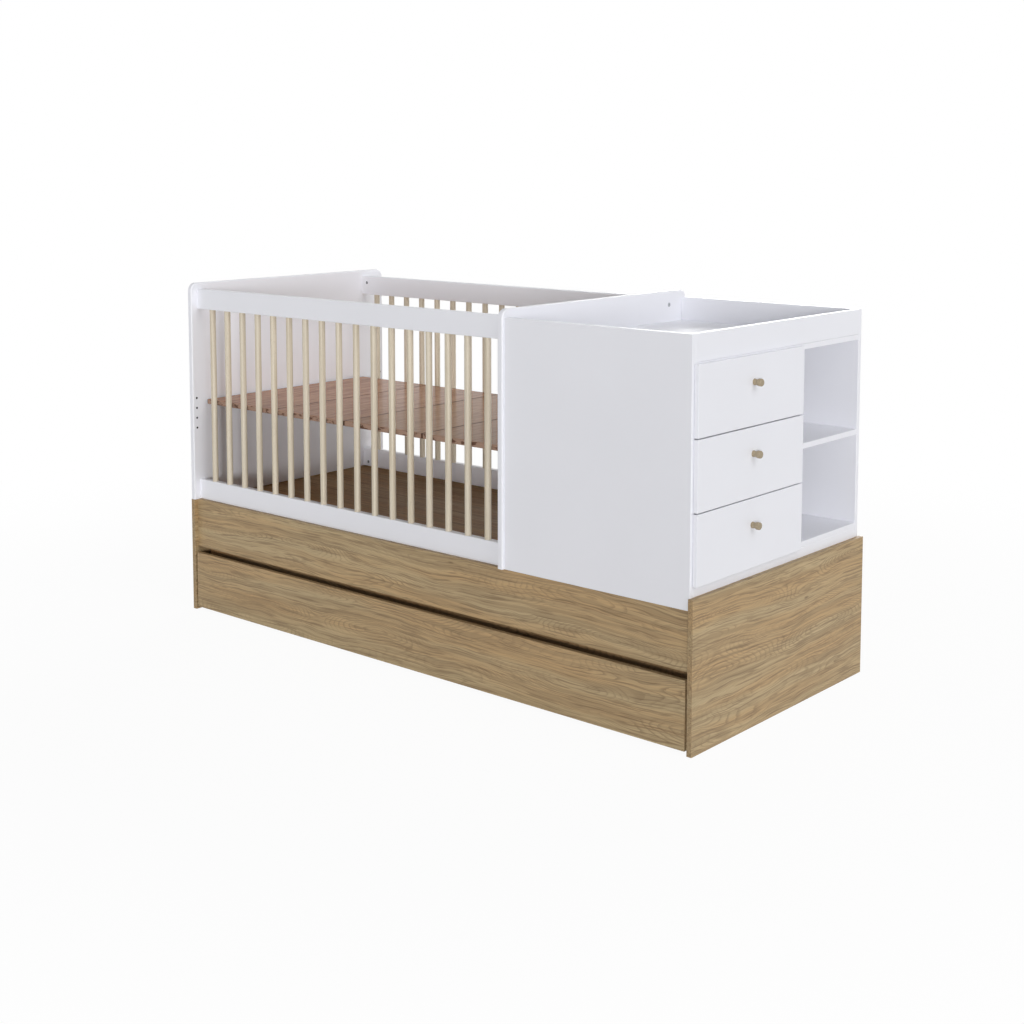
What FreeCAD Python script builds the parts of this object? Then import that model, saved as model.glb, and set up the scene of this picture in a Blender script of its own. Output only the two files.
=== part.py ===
import FreeCAD, Part
import os
import re

# Convertible crib: an oak-look bed base with a pull-out trundle bed, a white dowel-sided crib on its left
# and a white chest with drawers, niches and a changing top on its right.
# Lengths are millimetres. X runs along the bed to the chest, Y runs from the front to the back, Z is up.
# The origin is on the floor, in the middle of the whole footprint.

SIZES = {
    # Whole bed
    "bed_length": 1940,
    "bed_depth": 845,
    "bed_height": 1057,
    "overrun": 1,
    "board_round": 0.8,
    # Base: ends, rails and deck
    "base_board": 15,
    "base_height": 360,
    "end_rise": 32,
    "rail_height": 154,
    "rail_setback": 12.5,
    "floor_gap": 10,
    "deck_board": 15,
    "deck_sink": 3,
    "deck_gap": 1,
    "cleat_width": 25,
    "cleat_height": 25,
    "bearer_width": 20,
    "bearer_height": 50,
    # Trundle bed on casters
    "finger_gap": 18,
    "finger_reach": 40,
    "finger_wall_drop": 10,
    "trundle_board": 15,
    "trundle_setback": 1.5,
    "trundle_side_gap": 7,
    "trundle_box_gap": 20,
    "trundle_back_gap": 25,
    "trundle_lift": 55,
    "trundle_wall_drop": 23,
    "wheel_radius": 22.5,
    "wheel_width": 20,
    "wheel_round": 3,
    "axle_radius": 3,
    "axle_head_radius": 5,
    "axle_head_height": 1.5,
    "fork_plate": 3,
    "fork_width": 26,
    "fork_reach": 8,
    "caster_inset_x": 120,
    "caster_inset_y": 70,
    "running_clearance": 0.05,
    "side_clearance": 0.4,
    # Crib panels, rails and dowels
    "crib_panel": 18,
    "panel_corner": 25,
    "panel_round": 4,
    "crib_rail": 22,
    "crib_rail_height": 64,
    "crib_rail_round": 3,
    "top_rail_drop": 19,
    "front_rail_setback": 23.5,
    "back_rail_setback": 76.5,
    "dowel_count": 17,
    "dowel_radius": 9.5,
    "dowel_seat": 14,
    "fit_clearance": 0.15,
    "height_hole_count": 4,
    "height_hole_radius": 2.5,
    "height_hole_depth": 10,
    "height_hole_pitch": 32,
    "height_hole_lift": 232,
    "height_hole_setback": 14.5,
    "fixing_hole_radius": 2.5,
    "fixing_hole_depth": 8,
    "fixing_hole_lift": 18,
    "fixing_hole_spacing": 446,
    # Rail bolts and their barrel nuts
    "bolt_radius": 3,
    "bolt_head_radius": 6.5,
    "bolt_head_height": 3,
    "bolt_reach": 40,
    "bolt_foot_lift": 15.5,
    "bolt_top_drop": 22.5,
    "bolt_socket_radius": 2.3,
    "bolt_socket_depth": 2.2,
    "nut_radius": 5,
    "nut_length": 18,
    "nut_inset": 24,
    "nut_slot_width": 1.2,
    "nut_slot_depth": 1.5,
    # Height-adjustable mattress platform
    "platform_lift": 306,
    "platform_board": 15,
    "platform_board_count": 4,
    "platform_board_gap": 2,
    "platform_round": 2,
    "platform_end_gap": 7,
    "platform_side_gap": 5,
    "batten_width": 45,
    "batten_height": 20,
    "batten_inset": 110,
    "batten_end_gap": 6,
    "bracket_plate": 2,
    "bracket_width": 40,
    "bracket_leg": 36,
    "bracket_clearance": 0.3,
    "screw_radius": 2.2,
    "screw_head_radius": 4.5,
    "screw_head_height": 3,
    # Chest
    "chest_board": 15,
    "chest_round": 1.2,
    "chest_length": 595,
    "chest_setback": 7.5,
    "chest_height": 675,
    "chest_back_board": 3,
    "rim_height": 70,
    "rim_gap": 0.3,
    "plinth_height": 58,
    "bay_width": 484,
    # Drawers, runners and knobs
    "drawer_count": 3,
    "drawer_front_board": 12,
    "drawer_front_round": 1.2,
    "drawer_gap": 3,
    "drawer_reveal": 9.5,
    "divider_cover": 2,
    "front_stand_off": 1,
    "drawer_board": 12,
    "drawer_back_room": 93,
    "drawer_top_room": 29,
    "drawer_box_lift": 30,
    "drawer_bottom_board": 3,
    "drawer_bottom_rise": 10,
    "groove_depth": 5,
    "runner_space": 12.5,
    "runner_plate": 1.5,
    "runner_height": 34,
    "runner_depth": 10.5,
    "runner_inner_depth": 8.5,
    "runner_back_room": 17,
    "runner_setback": 3,
    "runner_clearance": 0.3,
    "knob_drop": 68,
    "knob_length": 24,
    "knob_foot_radius": 8.5,
    "knob_waist_radius": 7.5,
    "knob_head_radius": 9.8,
    "knob_waist_at": 8,
    "knob_head_at": 14,
    "knob_round": 3,
}

# Places worked out from the sizes, each named once and written in the names of others.
PLACES = {
    # Along the bed
    "knob_overhang": "front_stand_off + drawer_front_board + knob_length - base_board",
    "bed_left": "-(bed_length + knob_overhang) / 2",
    "bed_right": "bed_left + bed_length",
    "base_left_face": "bed_left + base_board",
    "base_right_face": "bed_right - base_board",
    "base_inner_length": "base_right_face - base_left_face",
    "crib_left_face": "bed_left + crib_panel",
    "partition_right": "base_right_face - chest_length",
    "partition_left": "partition_right - crib_panel",
    "crib_length": "partition_left - crib_left_face",
    "deck_join": "partition_left + crib_panel / 2",
    "front_back_face": "base_right_face + front_stand_off",
    "drawer_box_length": "chest_length - chest_back_board - drawer_back_room + front_stand_off",
    "runner_length": "drawer_box_length - runner_setback - runner_back_room",
    # From the front to the back
    "bed_front": "-bed_depth / 2",
    "bed_back": "bed_depth / 2",
    "rail_front": "bed_front + rail_setback",
    "rail_inner": "rail_front + base_board",
    "back_inner": "bed_back - rail_setback - base_board",
    "front_rail_y": "bed_front + front_rail_setback",
    "back_rail_y": "bed_back - back_rail_setback - crib_rail",
    "crib_middle": "(front_rail_y + crib_rail + back_rail_y) / 2",
    "chest_front": "bed_front + chest_setback",
    "bay_front": "chest_front + chest_board",
    "niche_back": "bed_back - chest_setback - chest_board",
    "chest_inner_depth": "niche_back - bay_front",
    "divider_front": "bay_front + bay_width",
    "divider_back": "divider_front + chest_board",
    "bay_middle": "bay_front + bay_width / 2",
    "trundle_front": "bed_front + trundle_setback",
    "trundle_inner": "trundle_front + trundle_board",
    "trundle_back": "back_inner - trundle_back_gap",
    "finger_wall_y": "trundle_inner + finger_reach",
    # Up from the floor
    "rail_bottom": "base_height - rail_height",
    "trundle_top": "rail_bottom - finger_gap",
    "trundle_wall_height": "trundle_top - trundle_wall_drop - trundle_lift",
    "trundle_floor": "trundle_lift + trundle_board",
    "finger_wall_height": "rail_bottom - finger_wall_drop - trundle_floor",
    "trundle_wall_top": "trundle_lift + trundle_wall_height",
    "deck_bottom": "base_height - deck_sink - deck_board",
    "top_rail_z": "bed_height - top_rail_drop - crib_rail_height",
    "rim_top": "base_height + chest_height",
    "changing_top": "rim_top - rim_height",
    "changing_under": "changing_top - chest_board",
    "plinth_top": "base_height + plinth_height",
    "chest_floor": "plinth_top + chest_board",
    "platform_under": "base_height + platform_lift",
    # Sizes of repeats
    "dowel_gap": "(crib_length - dowel_count * 2 * dowel_radius) / (dowel_count + 1)",
    "dowel_pitch": "dowel_gap + 2 * dowel_radius",
    "front_height": "(changing_top - plinth_top) / drawer_count - drawer_gap",
    "drawer_box_height": "front_height - drawer_box_lift - drawer_top_room",
    "platform_length": "crib_length - 2 * platform_end_gap",
    "platform_depth": "back_rail_y - front_rail_y - crib_rail - 2 * platform_side_gap",
    "platform_y": "front_rail_y + crib_rail + platform_side_gap",
    "plank_width": "(platform_length + platform_board_gap) / platform_board_count - platform_board_gap",
}

TURNS = {
    "+x": FreeCAD.Rotation(FreeCAD.Vector(0, 1, 0), 90),
    "-x": FreeCAD.Rotation(FreeCAD.Vector(0, 1, 0), -90),
    "+y": FreeCAD.Rotation(FreeCAD.Vector(1, 0, 0), -90),
    "-y": FreeCAD.Rotation(FreeCAD.Vector(1, 0, 0), 90),
    "+z": FreeCAD.Rotation(),
    "-z": FreeCAD.Rotation(FreeCAD.Vector(1, 0, 0), 180),
}

doc = FreeCAD.newDocument("ConvertibleCrib")
nodes = []


def fill_sheet():
    """Writes every driving size to the sheet, one aliased cell each."""
    sheet = doc.addObject("Spreadsheet::Sheet", "Sizes")
    for row, (name, value) in enumerate(SIZES.items(), 1):
        sheet.set("A%d" % row, name)
        sheet.set("B%d" % row, str(value))
        sheet.setAlias("B%d" % row, name)
    doc.recompute()


def expression(text):
    """Turns a formula in plain names into one that reads the sheet."""
    def spell(match):
        word = match.group(0)
        if word in SIZES:
            return "Sizes." + word
        return "(" + expression(PLACES[word]) + ")"
    return re.sub(r"[a-z][a-z_]*", spell, text)


def bind(item, setting, text):
    item.setExpression(setting, expression(text))


def locate(item, point):
    for axis, text in zip("xyz", point):
        bind(item, "Placement.Base." + axis, text)


def new_body(label, origin=("0", "0", "0"), turn="+z"):
    body = doc.addObject("PartDesign::Body", label)
    body.Label = label
    body.Placement = FreeCAD.Placement(FreeCAD.Vector(), TURNS[turn])
    locate(body, origin)
    return body


def add_feature(body, kind, sizes, point=("0", "0", "0"), turn="+z"):
    """Adds a primitive to a body, with its sizes and its place in the body bound to the sheet."""
    feature = body.newObject("PartDesign::" + kind, body.Name + "_" + kind)
    feature.Placement = FreeCAD.Placement(FreeCAD.Vector(), TURNS[turn])
    locate(feature, point)
    for setting, text in sizes.items():
        bind(feature, setting, text)
    return feature


def box_sizes(size):
    return dict(zip(("Length", "Width", "Height"), size))


def round_edges(body, radius, chosen):
    """Rounds the edges of the body's last feature that the test picks."""
    doc.recompute()
    base = body.Tip
    names = ["Edge%d" % number for number, edge in enumerate(base.Shape.Edges, 1) if chosen(edge)]
    fillet = body.newObject("PartDesign::Fillet", body.Name + "_round")
    fillet.Base = (base, names)
    bind(fillet, "Radius", radius)


def runs_along(edge, axis):
    """Tells whether an edge is a straight line along one axis."""
    if edge.Curve.TypeId != "Part::GeomLine":
        return False
    return round(abs(getattr(edge.Curve.Direction, axis))) == 1


def every_edge(edge):
    return True


def drill(body, point, turn, radius, depth):
    """Bores a round blind hole from a face of the body, starting one overrun outside it."""
    back = {"x": "0", "y": "0", "z": "0"}
    back[turn[1]] = "-overrun" if turn[0] == "+" else "overrun"
    start = tuple("%s + %s" % (text, back[axis]) for text, axis in zip(point, "xyz"))
    sizes = {"Radius": radius, "Height": "%s + overrun" % depth}
    return add_feature(body, "SubtractiveCylinder", sizes, start, turn)


def repeat_along(body, feature, axis, count, pitch):
    """Repeats a body's feature in a row along one of the body's axes."""
    pattern = body.newObject("PartDesign::LinearPattern", body.Name + "_row")
    pattern.Originals = [feature]
    role = axis.upper() + "_Axis"
    line = next(item for item in body.Origin.OriginFeatures if item.Role == role)
    pattern.Direction = (line, [""])
    bind(pattern, "Length", "(%s - 1) * (%s)" % (count, pitch))
    bind(pattern, "Occurrences", count)
    body.Tip = pattern


def keep(item):
    nodes.append(item)
    return item


def group(label, pieces):
    """Holds like pieces together as one named sub-part of separate solids."""
    compound = doc.addObject("Part::Compound", label)
    compound.Label = label
    compound.Links = pieces
    return keep(compound)


def board(label, low, size, edge_radius="board_round"):
    """A flat board with eased edges, given by its lowest corner and its size."""
    body = new_body(label, low)
    add_feature(body, "AdditiveBox", box_sizes(size))
    if edge_radius:
        round_edges(body, edge_radius, every_edge)
    return body


def make_base():
    """Oak-look ends, front rail and back panel, with the deck on cleats and bearers."""
    keep(board("base_left_end", ("bed_left", "bed_front", "0"), ("base_board", "bed_depth", "base_height")))
    keep(board("base_right_end", ("base_right_face", "bed_front", "0"),
               ("base_board", "bed_depth", "base_height + end_rise")))
    keep(board("base_front_rail", ("base_left_face", "rail_front", "rail_bottom"),
               ("base_inner_length", "base_board", "rail_height")))
    keep(board("base_back_panel", ("base_left_face", "back_inner", "floor_gap"),
               ("base_inner_length", "base_board", "base_height - floor_gap")))
    deck_y = "rail_inner + deck_gap"
    deck_depth = "back_inner - rail_inner - 2 * deck_gap"
    keep(board("deck_crib_panel", ("base_left_face + deck_gap", deck_y, "deck_bottom"),
               ("deck_join - deck_gap / 2 - base_left_face - deck_gap", deck_depth, "deck_board")))
    keep(board("deck_chest_panel", ("deck_join + deck_gap / 2", deck_y, "deck_bottom"),
               ("base_right_face - deck_gap - deck_join - deck_gap / 2", deck_depth, "deck_board")))
    cleat_size = ("base_inner_length", "cleat_width", "cleat_height")
    cleat_z = "deck_bottom - cleat_height"
    group("deck_cleats", [
        board("deck_front_cleat", ("base_left_face", "rail_inner", cleat_z), cleat_size),
        board("deck_back_cleat", ("base_left_face", "back_inner - cleat_width", cleat_z), cleat_size)])
    bearer_size = ("bearer_width", "back_inner - rail_inner - 2 * cleat_width", "bearer_height")
    middles = ("(base_left_face + deck_join) / 2", "deck_join", "(deck_join + base_right_face) / 2")
    group("deck_bearers", [
        board("deck_bearer_%d" % number,
              (middle + " - bearer_width / 2", "rail_inner + cleat_width", "deck_bottom - bearer_height"),
              bearer_size)
        for number, middle in enumerate(middles, 1)])


# Each rail row: its front face, its underside and the rise of its bolts above the underside.
RAIL_ROWS = {
    "front_bottom": ("front_rail_y", "base_height", "bolt_foot_lift"),
    "front_top": ("front_rail_y", "top_rail_z", "crib_rail_height - bolt_top_drop"),
    "back_bottom": ("back_rail_y", "base_height", "bolt_foot_lift"),
    "back_top": ("back_rail_y", "top_rail_z", "crib_rail_height - bolt_top_drop"),
}


def make_crib_panel(label, left, inner, outer, inward, outward):
    """A white upright with round top corners, bored for the rail bolts and the rows of small holes."""
    body = new_body(label, (left, "bed_front", "base_height"))
    height = "bed_height - base_height"
    add_feature(body, "AdditiveBox", box_sizes(("crib_panel", "bed_depth", height)))
    top = SIZES["bed_height"] - SIZES["base_height"]
    round_edges(body, "panel_corner",
                lambda edge: runs_along(edge, "x") and edge.CenterOfMass.z > top / 2)
    round_edges(body, "panel_round",
                lambda edge: not runs_along(edge, "x") and edge.BoundBox.ZMax > top / 2)
    for row_y, row_z, bolt_rise in RAIL_ROWS.values():
        bolt_y = row_y + " + crib_rail / 2 - bed_front"
        bolt_z = row_z + " + " + bolt_rise + " - base_height"
        drill(body, (outer, bolt_y, bolt_z), inward, "bolt_head_radius + fit_clearance", "bolt_head_height")
        drill(body, (outer, bolt_y, bolt_z), inward, "bolt_radius + fit_clearance", "crib_panel + overrun")
    for hole_y in ("height_hole_setback", "bed_depth - height_hole_setback"):
        hole = drill(body, (inner, hole_y, "height_hole_lift"), outward, "height_hole_radius",
                     "height_hole_depth")
        repeat_along(body, hole, "z", "height_hole_count", "height_hole_pitch")
    for side in ("-", "+"):
        hole_y = "crib_middle - bed_front %s fixing_hole_spacing / 2" % side
        drill(body, (inner, hole_y, "fixing_hole_lift"), outward, "fixing_hole_radius", "fixing_hole_depth")
    keep(body)


def make_crib_rail(row):
    """A white rail with a row of dowel seats and, near each end, a bolt hole and a nut hole."""
    row_y, row_z, bolt_rise = RAIL_ROWS[row]
    body = new_body("crib_%s_rail" % row, ("crib_left_face", row_y, row_z))
    add_feature(body, "AdditiveBox", box_sizes(("crib_length", "crib_rail", "crib_rail_height")))
    round_edges(body, "crib_rail_round", lambda edge: runs_along(edge, "x"))
    seat_z, seat_turn = ("0", "+z") if row.endswith("top") else ("crib_rail_height", "-z")
    seat = drill(body, ("dowel_gap + dowel_radius", "crib_rail / 2", seat_z), seat_turn,
                 "dowel_radius + fit_clearance", "dowel_seat")
    repeat_along(body, seat, "x", "dowel_count", "dowel_pitch")
    nut_y, nut_turn = ("0", "+y") if row.startswith("back") else ("crib_rail", "-y")
    for end, nut_x, turn in (("0", "nut_inset", "+x"), ("crib_length", "crib_length - nut_inset", "-x")):
        drill(body, (end, "crib_rail / 2", bolt_rise), turn, "bolt_radius + fit_clearance",
              "bolt_reach + fit_clearance")
        drill(body, (nut_x, nut_y, bolt_rise), nut_turn, "nut_radius + fit_clearance",
              "nut_length + fit_clearance")
    keep(body)


def make_dowels(side):
    """A row of beech dowels, each seated in the bottom and the top rail."""
    row_y = RAIL_ROWS[side + "_bottom"][0]
    dowels = []
    for number in range(SIZES["dowel_count"]):
        dowel = doc.addObject("Part::Cylinder", "crib_%s_dowel_%02d" % (side, number + 1))
        bind(dowel, "Radius", "dowel_radius")
        bind(dowel, "Height", "top_rail_z - base_height - crib_rail_height + 2 * dowel_seat")
        locate(dowel, ("crib_left_face + dowel_gap + dowel_radius + %d * dowel_pitch" % number,
                       row_y + " + crib_rail / 2", "base_height + crib_rail_height - dowel_seat"))
        dowels.append(dowel)
    group("crib_%s_dowels" % side, dowels)


def make_rail_fasteners():
    """Socket-head bolts through the panels, each pulled tight by a barrel nut in the rail."""
    bolts = []
    nuts = []
    for row, (row_y, row_z, bolt_rise) in RAIL_ROWS.items():
        bolt_y = row_y + " + crib_rail / 2"
        bolt_z = row_z + " + " + bolt_rise
        nut_y, nut_turn = (row_y, "+y") if row.startswith("back") else (row_y + " + crib_rail", "-y")
        ends = (("left", "bed_left", "+x", "crib_left_face + nut_inset"),
                ("right", "partition_right", "-x", "partition_left - nut_inset"))
        for end, head_x, turn, nut_x in ends:
            bolt = new_body("crib_bolt_%s_%s" % (row, end), (head_x, bolt_y, bolt_z), turn)
            add_feature(bolt, "AdditiveCylinder",
                        {"Radius": "bolt_head_radius", "Height": "bolt_head_height"})
            add_feature(bolt, "AdditiveCylinder",
                        {"Radius": "bolt_radius", "Height": "crib_panel + bolt_reach"})
            add_feature(bolt, "SubtractivePrism",
                        {"Circumradius": "bolt_socket_radius", "Height": "bolt_socket_depth + overrun"},
                        ("0", "0", "-overrun"))
            bolts.append(bolt)
            nut = new_body("crib_nut_%s_%s" % (row, end), (nut_x, nut_y, bolt_z), nut_turn)
            add_feature(nut, "AdditiveCylinder", {"Radius": "nut_radius", "Height": "nut_length"})
            add_feature(nut, "SubtractiveCylinder",
                        {"Radius": "bolt_radius + fit_clearance", "Height": "2 * (nut_radius + overrun)"},
                        ("-nut_radius - overrun", "0", "crib_rail / 2"), "+x")
            add_feature(nut, "SubtractiveBox",
                        box_sizes(("2 * (nut_radius + overrun)", "nut_slot_width",
                                   "nut_slot_depth + overrun")),
                        ("-nut_radius - overrun", "-nut_slot_width / 2", "-overrun"))
            nuts.append(nut)
    group("crib_rail_bolts", bolts)
    group("crib_barrel_nuts", nuts)


def make_crib():
    make_crib_panel("crib_left_panel", "bed_left", "crib_panel", "0", "+x", "-x")
    make_crib_panel("crib_partition", "partition_left", "0", "crib_panel", "-x", "+x")
    for row in RAIL_ROWS:
        make_crib_rail(row)
    make_dowels("front")
    make_dowels("back")
    make_rail_fasteners()


def make_platform():
    """Planks across the crib on two battens, carried at the panels by screwed angle brackets."""
    planks = []
    for number in range(SIZES["platform_board_count"]):
        plank_x = "crib_left_face + platform_end_gap + %d * (plank_width + platform_board_gap)" % number
        planks.append(board("platform_plank_%d" % (number + 1), (plank_x, "platform_y", "platform_under"),
                            ("plank_width", "platform_depth", "platform_board"), "platform_round"))
    group("platform_planks", planks)
    battens = []
    brackets = []
    screws = []
    batten_z = "platform_under - batten_height"
    bracket_x = "bracket_clearance + bracket_plate + batten_end_gap"
    edges = (("front", "platform_y + batten_inset"),
             ("back", "platform_y + platform_depth - batten_inset - batten_width"))
    ends = (("left", "crib_left_face + bracket_clearance", "0", "bracket_plate", "-x"),
            ("right", "partition_left - bracket_clearance - bracket_leg", "bracket_leg - bracket_plate",
             "bracket_leg - bracket_plate", "+x"))
    for edge, batten_y in edges:
        battens.append(board("platform_%s_batten" % edge,
                             ("crib_left_face + " + bracket_x, batten_y, batten_z),
                             ("crib_length - 2 * (%s)" % bracket_x, "batten_width", "batten_height")))
        bracket_y = batten_y + " + (batten_width - bracket_width) / 2"
        for end, low_x, leg_x, head_x, turn in ends:
            low = (low_x, bracket_y, batten_z + " - bracket_plate")
            bracket = new_body("platform_bracket_%s_%s" % (edge, end), low)
            add_feature(bracket, "AdditiveBox", box_sizes(("bracket_leg", "bracket_width", "bracket_plate")))
            add_feature(bracket, "AdditiveBox",
                        box_sizes(("bracket_plate", "bracket_width", "batten_height + bracket_plate")),
                        (leg_x, "0", "0"))
            hole_start = "-overrun" if end == "left" else "bracket_leg + overrun"
            hole_turn = "+x" if end == "left" else "-x"
            screw_z = "bracket_plate + batten_height / 2"
            add_feature(bracket, "SubtractiveCylinder",
                        {"Radius": "screw_radius + fit_clearance", "Height": "bracket_plate + 2 * overrun"},
                        (hole_start, "bracket_width / 2", screw_z), hole_turn)
            brackets.append(bracket)
            screw = new_body("platform_screw_%s_%s" % (edge, end),
                             ("%s + %s" % (low_x, head_x), bracket_y + " + bracket_width / 2",
                              batten_z + " - bracket_plate + " + screw_z), turn)
            add_feature(screw, "AdditiveCylinder", {"Radius": "screw_radius", "Height": "bracket_plate"})
            add_feature(screw, "AdditiveCylinder",
                        {"Radius": "screw_head_radius", "Height": "screw_head_height"},
                        ("0", "0", "-screw_head_height"))
            screws.append(screw)
    group("platform_battens", battens)
    group("platform_brackets", brackets)
    group("platform_screws", screws)


def case_board(label, low, size):
    """A white board of the chest's case."""
    keep(board(label, low, size, "chest_round"))


def make_chest():
    """White case on the base: sides, floor, divider, shelf, back, changing top, end rim and plinth."""
    side_size = ("chest_length", "chest_board", "chest_height")
    case_board("chest_front_side", ("partition_right", "chest_front", "base_height"), side_size)
    case_board("chest_back_side", ("partition_right", "niche_back", "base_height"), side_size)
    flat_size = ("chest_length", "chest_inner_depth", "chest_board")
    case_board("chest_bottom", ("partition_right", "bay_front", "plinth_top"), flat_size)
    case_board("chest_changing_top", ("partition_right", "bay_front", "changing_under"), flat_size)
    end_x = "base_right_face - chest_board"
    case_board("chest_end_rim", (end_x, "bay_front", "changing_top + rim_gap"),
               ("chest_board", "chest_inner_depth", "rim_height - rim_gap"))
    case_board("chest_plinth", (end_x, "bay_front", "base_height"),
               ("chest_board", "chest_inner_depth", "plinth_height"))
    inner_x = "partition_right + chest_back_board"
    inner_length = "chest_length - chest_back_board"
    inner_height = "changing_under - chest_floor"
    keep(board("chest_back_board", ("partition_right", "bay_front", "chest_floor"),
               ("chest_back_board", "chest_inner_depth", inner_height), None))
    case_board("chest_divider", (inner_x, "divider_front", "chest_floor"),
               (inner_length, "chest_board", inner_height))
    case_board("chest_niche_shelf",
               (inner_x, "divider_back", "(chest_floor + changing_under - chest_board) / 2"),
               (inner_length, "niche_back - divider_back", "chest_board"))


def channel(label, low, size, open_side):
    """A steel runner member: a plate channel along X, open to one side."""
    length, depth, height = size
    body = new_body(label, low)
    add_feature(body, "AdditiveBox", box_sizes(size))
    hollow_y = "runner_plate" if open_side == "+y" else "-overrun"
    add_feature(body, "SubtractiveBox",
                box_sizes((length + " + 2 * overrun", depth + " - runner_plate + overrun",
                           height + " - 2 * runner_plate")),
                ("-overrun", hollow_y, "runner_plate"))
    return body


def front_low(number):
    return "plinth_top + %d * (front_height + drawer_gap)" % number


def runner_low(number):
    return front_low(number) + " + drawer_box_lift + (drawer_box_height - runner_height) / 2"


def make_cabinet_runners():
    """The fixed runner members, one on each side of every drawer."""
    runner_x = "base_right_face - runner_setback - runner_length"
    size = ("runner_length", "runner_depth", "runner_height")
    members = []
    for number in range(SIZES["drawer_count"]):
        low_z = runner_low(number)
        members.append(channel("cabinet_runner_%d_front" % (number + 1),
                               (runner_x, "bay_front", low_z), size, "+y"))
        members.append(channel("cabinet_runner_%d_back" % (number + 1),
                               (runner_x, "divider_front - runner_depth", low_z), size, "-y"))
    group("chest_cabinet_runners", members)


def make_knob(label, knob_z):
    """A turned beech knob: a foot that narrows to a waist and swells to a rounded head."""
    body = new_body(label, ("front_back_face + drawer_front_board", "bay_middle", knob_z), "+x")
    add_feature(body, "AdditiveCone",
                {"Radius1": "knob_foot_radius", "Radius2": "knob_waist_radius", "Height": "knob_waist_at"})
    add_feature(body, "AdditiveCone",
                {"Radius1": "knob_waist_radius", "Radius2": "knob_head_radius",
                 "Height": "knob_head_at - knob_waist_at"}, ("0", "0", "knob_waist_at"))
    add_feature(body, "AdditiveCylinder",
                {"Radius": "knob_head_radius", "Height": "knob_length - knob_head_at"},
                ("0", "0", "knob_head_at"))
    waist = SIZES["knob_waist_at"]
    round_edges(body, "knob_round",
                lambda edge: edge.Curve.TypeId == "Part::GeomCircle" and edge.CenterOfMass.z >= waist)
    keep(body)


def make_drawer(number):
    """One drawer: overlay front with its knob, sides grooved for the bottom, back and runner members."""
    name = "drawer_%d" % (number + 1)
    low_z = front_low(number)
    keep(board(name + "_front", ("front_back_face", "chest_front + drawer_reveal", low_z),
               ("drawer_front_board", "divider_front + divider_cover - chest_front - drawer_reveal",
                "front_height"), "drawer_front_round"))
    make_knob(name + "_knob", low_z + " + front_height - knob_drop")
    box_x = "front_back_face - drawer_box_length"
    box_z = low_z + " + drawer_box_lift"
    inner_y = "bay_front + runner_space + drawer_board"
    inner_width = "bay_width - 2 * (runner_space + drawer_board)"
    sides = []
    for side, side_y, groove_y in (("front", "bay_front + runner_space", "drawer_board - groove_depth"),
                                   ("back", inner_y + " + " + inner_width, "-overrun")):
        body = board("%s_%s_side" % (name, side), (box_x, side_y, box_z),
                     ("drawer_box_length", "drawer_board", "drawer_box_height"))
        add_feature(body, "SubtractiveBox",
                    box_sizes(("drawer_box_length + 2 * overrun", "groove_depth + overrun",
                               "drawer_bottom_board + 2 * fit_clearance")),
                    ("-overrun", groove_y, "drawer_bottom_rise - fit_clearance"))
        sides.append(body)
    group(name + "_sides", sides)
    keep(board(name + "_bottom",
               (box_x, inner_y + " - groove_depth + fit_clearance", box_z + " + drawer_bottom_rise"),
               ("drawer_box_length", inner_width + " + 2 * (groove_depth - fit_clearance)",
                "drawer_bottom_board"), None))
    back_z = "drawer_bottom_rise + drawer_bottom_board"
    keep(board(name + "_back", (box_x, inner_y, "%s + %s" % (box_z, back_z)),
               ("drawer_board", inner_width, "drawer_box_height - (%s)" % back_z)))
    member_x = "front_back_face - runner_setback - runner_length"
    member_z = runner_low(number) + " + runner_plate + runner_clearance"
    member_size = ("runner_length", "runner_inner_depth",
                   "runner_height - 2 * (runner_plate + runner_clearance)")
    group(name + "_runners", [
        channel(name + "_front_runner",
                (member_x, "bay_front + runner_space - runner_inner_depth", member_z), member_size, "-y"),
        channel(name + "_back_runner",
                (member_x, "divider_front - runner_space", member_z), member_size, "+y")])


def make_trundle():
    """The pull-out bed on casters: an oak-look front and a low box. Its finger wall lies over its ends."""
    front_x = "base_left_face + trundle_side_gap"
    keep(board("trundle_front", (front_x, "trundle_front", "floor_gap"),
               ("base_inner_length - 2 * trundle_side_gap", "trundle_board",
                "trundle_top - floor_gap")))
    box_x = "base_left_face + trundle_box_gap"
    inner_x = box_x + " + trundle_board"
    inner_length = "base_inner_length - 2 * (trundle_box_gap + trundle_board)"
    end_size = ("trundle_board", "trundle_back - trundle_inner", "trundle_wall_height")
    group("trundle_ends", [
        board("trundle_left_end", (box_x, "trundle_inner", "trundle_lift"), end_size),
        board("trundle_right_end", ("%s + %s" % (inner_x, inner_length), "trundle_inner", "trundle_lift"),
              end_size)])
    finger_wall = board("trundle_finger_wall", (inner_x, "finger_wall_y", "trundle_floor"),
                        (inner_length, "trundle_board", "finger_wall_height"), None)
    ear = "trundle_box_gap + trundle_board - trundle_side_gap"
    add_feature(finger_wall, "AdditiveBox",
                box_sizes(("base_inner_length - 2 * trundle_side_gap", "trundle_board",
                           "trundle_floor + finger_wall_height - trundle_wall_top")),
                ("-(%s)" % ear, "0", "trundle_wall_top - trundle_floor"))
    group("trundle_long_walls", [
        finger_wall,
        board("trundle_back_wall", (inner_x, "trundle_back - trundle_board", "trundle_lift"),
              (inner_length, "trundle_board", "trundle_wall_height"))])
    keep(board("trundle_bottom", (inner_x, "trundle_inner", "trundle_lift"),
               (inner_length, "trundle_back - trundle_board - trundle_inner", "trundle_board")))
    make_casters(box_x)


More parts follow.
